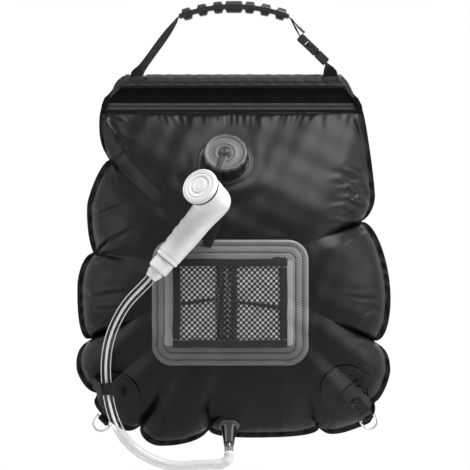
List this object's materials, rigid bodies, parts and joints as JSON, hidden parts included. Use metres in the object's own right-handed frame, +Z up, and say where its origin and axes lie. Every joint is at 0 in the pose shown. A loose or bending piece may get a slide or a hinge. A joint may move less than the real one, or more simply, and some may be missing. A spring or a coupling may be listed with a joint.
{
  "type": "camp shower bag",
  "caption": "Hanging water bag with a grip handle, a screw-capped filler, a mesh pocket and a hand shower on a clear hose.",
  "frame": {"origin": "centre of the flat underside of the grip's middle block, which a hook or a hand bears on", "axes": "+Z up, +X to the viewer's right, and the side with the filler, the head and the pocket faces -Y"},
  "size_m": [0.3914, 0.2298, 0.5867],
  "materials": {
    "coated_fabric": "black coated weave, semi-gloss",
    "dark_band": "black welded band",
    "dark_mesh": "black open mesh",
    "webbing": "black woven tape",
    "grey_patch": "grey coated weave",
    "grip_rubber": "matt black rubber",
    "seal_rubber": "black rubber",
    "black_plastic": "black moulded plastic",
    "cap_plastic": "grey moulded plastic",
    "white_plastic": "white moulded plastic",
    "clear_vinyl": "clear soft vinyl",
    "grey_vinyl": "grey see-through vinyl",
    "ring_steel": "plated steel wire"
  },
  "bodies": {
    "handle": {"grip": "grip_rubber", "handle_webbing": "webbing", "webbing_tail": "webbing", "buckle_socket": "black_plastic", "buckle_plug": "black_plastic", "plug_webbing": "webbing"},
    "prong_front": {"buckle_prong_front": "black_plastic"},
    "prong_back": {"buckle_prong_back": "black_plastic"},
    "bag": {"bladder": "coated_fabric", "rod_sleeve": "coated_fabric", "sleeve_rod": "white_plastic", "hem_band": "dark_band", "weld_strip_front": "coated_fabric", "weld_strip_back": "coated_fabric", "filler_neck": "black_plastic", "cap_tether": "black_plastic", "outlet_spout": "black_plastic", "outlet_seal": "seal_rubber", "outlet_adapter": "grey_vinyl", "outlet_ring": "white_plastic", "hose_elbow": "clear_vinyl", "hose": "clear_vinyl", "head_holder_strap": "webbing", "pocket_patch": "grey_patch", "pocket_net": "dark_mesh", "pocket_pleat": "dark_mesh", "binding_top": "webbing", "binding_bottom": "webbing", "binding_left": "webbing", "binding_right": "webbing", "left_weld_spot": "coated_fabric", "right_weld_spot": "coated_fabric", "side_strap": "webbing", "hose_strap": "webbing", "left_ring_tab": "webbing", "right_ring_tab": "webbing"},
    "cap_post": {"cap_rivet": "black_plastic"},
    "cap": {"filler_cap": "cap_plastic", "cap_gasket": "seal_rubber"},
    "shower_head": {"head_shell": "white_plastic", "face_seal": "seal_rubber", "valve_seat": "white_plastic", "hose_nut": "white_plastic"},
    "spray_ring": {"face_bezel": "white_plastic", "spray_face": "white_plastic"},
    "valve": {"valve_collar": "white_plastic", "valve_stem": "black_plastic"},
    "ring_left": {"left_ring": "ring_steel"},
    "ring_right": {"right_ring": "ring_steel"}
  },
  "joints": [
    {"name": "bag_swing", "type": "hinge", "parent": "handle", "child": "bag", "pos_m": [0, 0, -0.0855], "axis": [1, 0, 0], "range_deg": [-75, 75]},
    {"name": "prong_front_squeeze", "type": "hinge", "parent": "handle", "child": "prong_front", "pos_m": [0.10532, -0.0085, -0.05194], "axis": [-0.6934, 0, -0.7206], "range_deg": [0, 8], "stiffness_Nm_per_rad": 0.05},
    {"name": "prong_back_squeeze", "type": "hinge", "parent": "handle", "child": "prong_back", "pos_m": [0.10532, 0.0085, -0.05194], "axis": [0.6934, 0, 0.7206], "range_deg": [0, 8], "stiffness_Nm_per_rad": 0.05},
    {"name": "cap_lift", "type": "slide", "parent": "bag", "child": "cap_post", "axis": [0, -0.8387, 0.5446], "range_m": [0, 0.0126], "deforming": ["cap_tether"]},
    {"name": "cap_turn", "type": "hinge", "parent": "cap_post", "child": "cap", "pos_m": [-0.0106, -0.04339, -0.186], "axis": [0, -0.8387, 0.5446], "range_deg": [0, 900]},
    {"name": "head_lift", "type": "slide", "parent": "bag", "child": "shower_head", "axis": [0, -0.8, 0.6], "range_m": [0, 0.06]},
    {"name": "face_turn", "type": "hinge", "parent": "shower_head", "child": "spray_ring", "pos_m": [-0.0237, -0.1015, -0.236], "axis": [-0.4409, -0.7824, 0.4399], "range_deg": [0, 90]},
    {"name": "collar_turn", "type": "hinge", "parent": "shower_head", "child": "valve", "pos_m": [-0.0237, -0.1015, -0.236], "axis": [-0.6414, 0, -0.7672], "range_deg": [0, 90]},
    {"name": "left_ring_swing", "type": "hinge", "parent": "bag", "child": "ring_left", "pos_m": [-0.163, -0.00607, -0.50918], "axis": [-0.7071, 0, 0.7071], "range_deg": [0, 100]},
    {"name": "right_ring_swing", "type": "hinge", "parent": "bag", "child": "ring_right", "pos_m": [0.16684, -0.00696, -0.50608], "axis": [-0.8829, 0, -0.4695], "range_deg": [0, 100]}
  ],
  "couplings": [
    {"joint": "cap_lift", "follows": "cap_turn", "m_per_rad": 0.000796},
    {"joint": "prong_back_squeeze", "follows": "prong_front_squeeze", "ratio": 1}
  ]
}
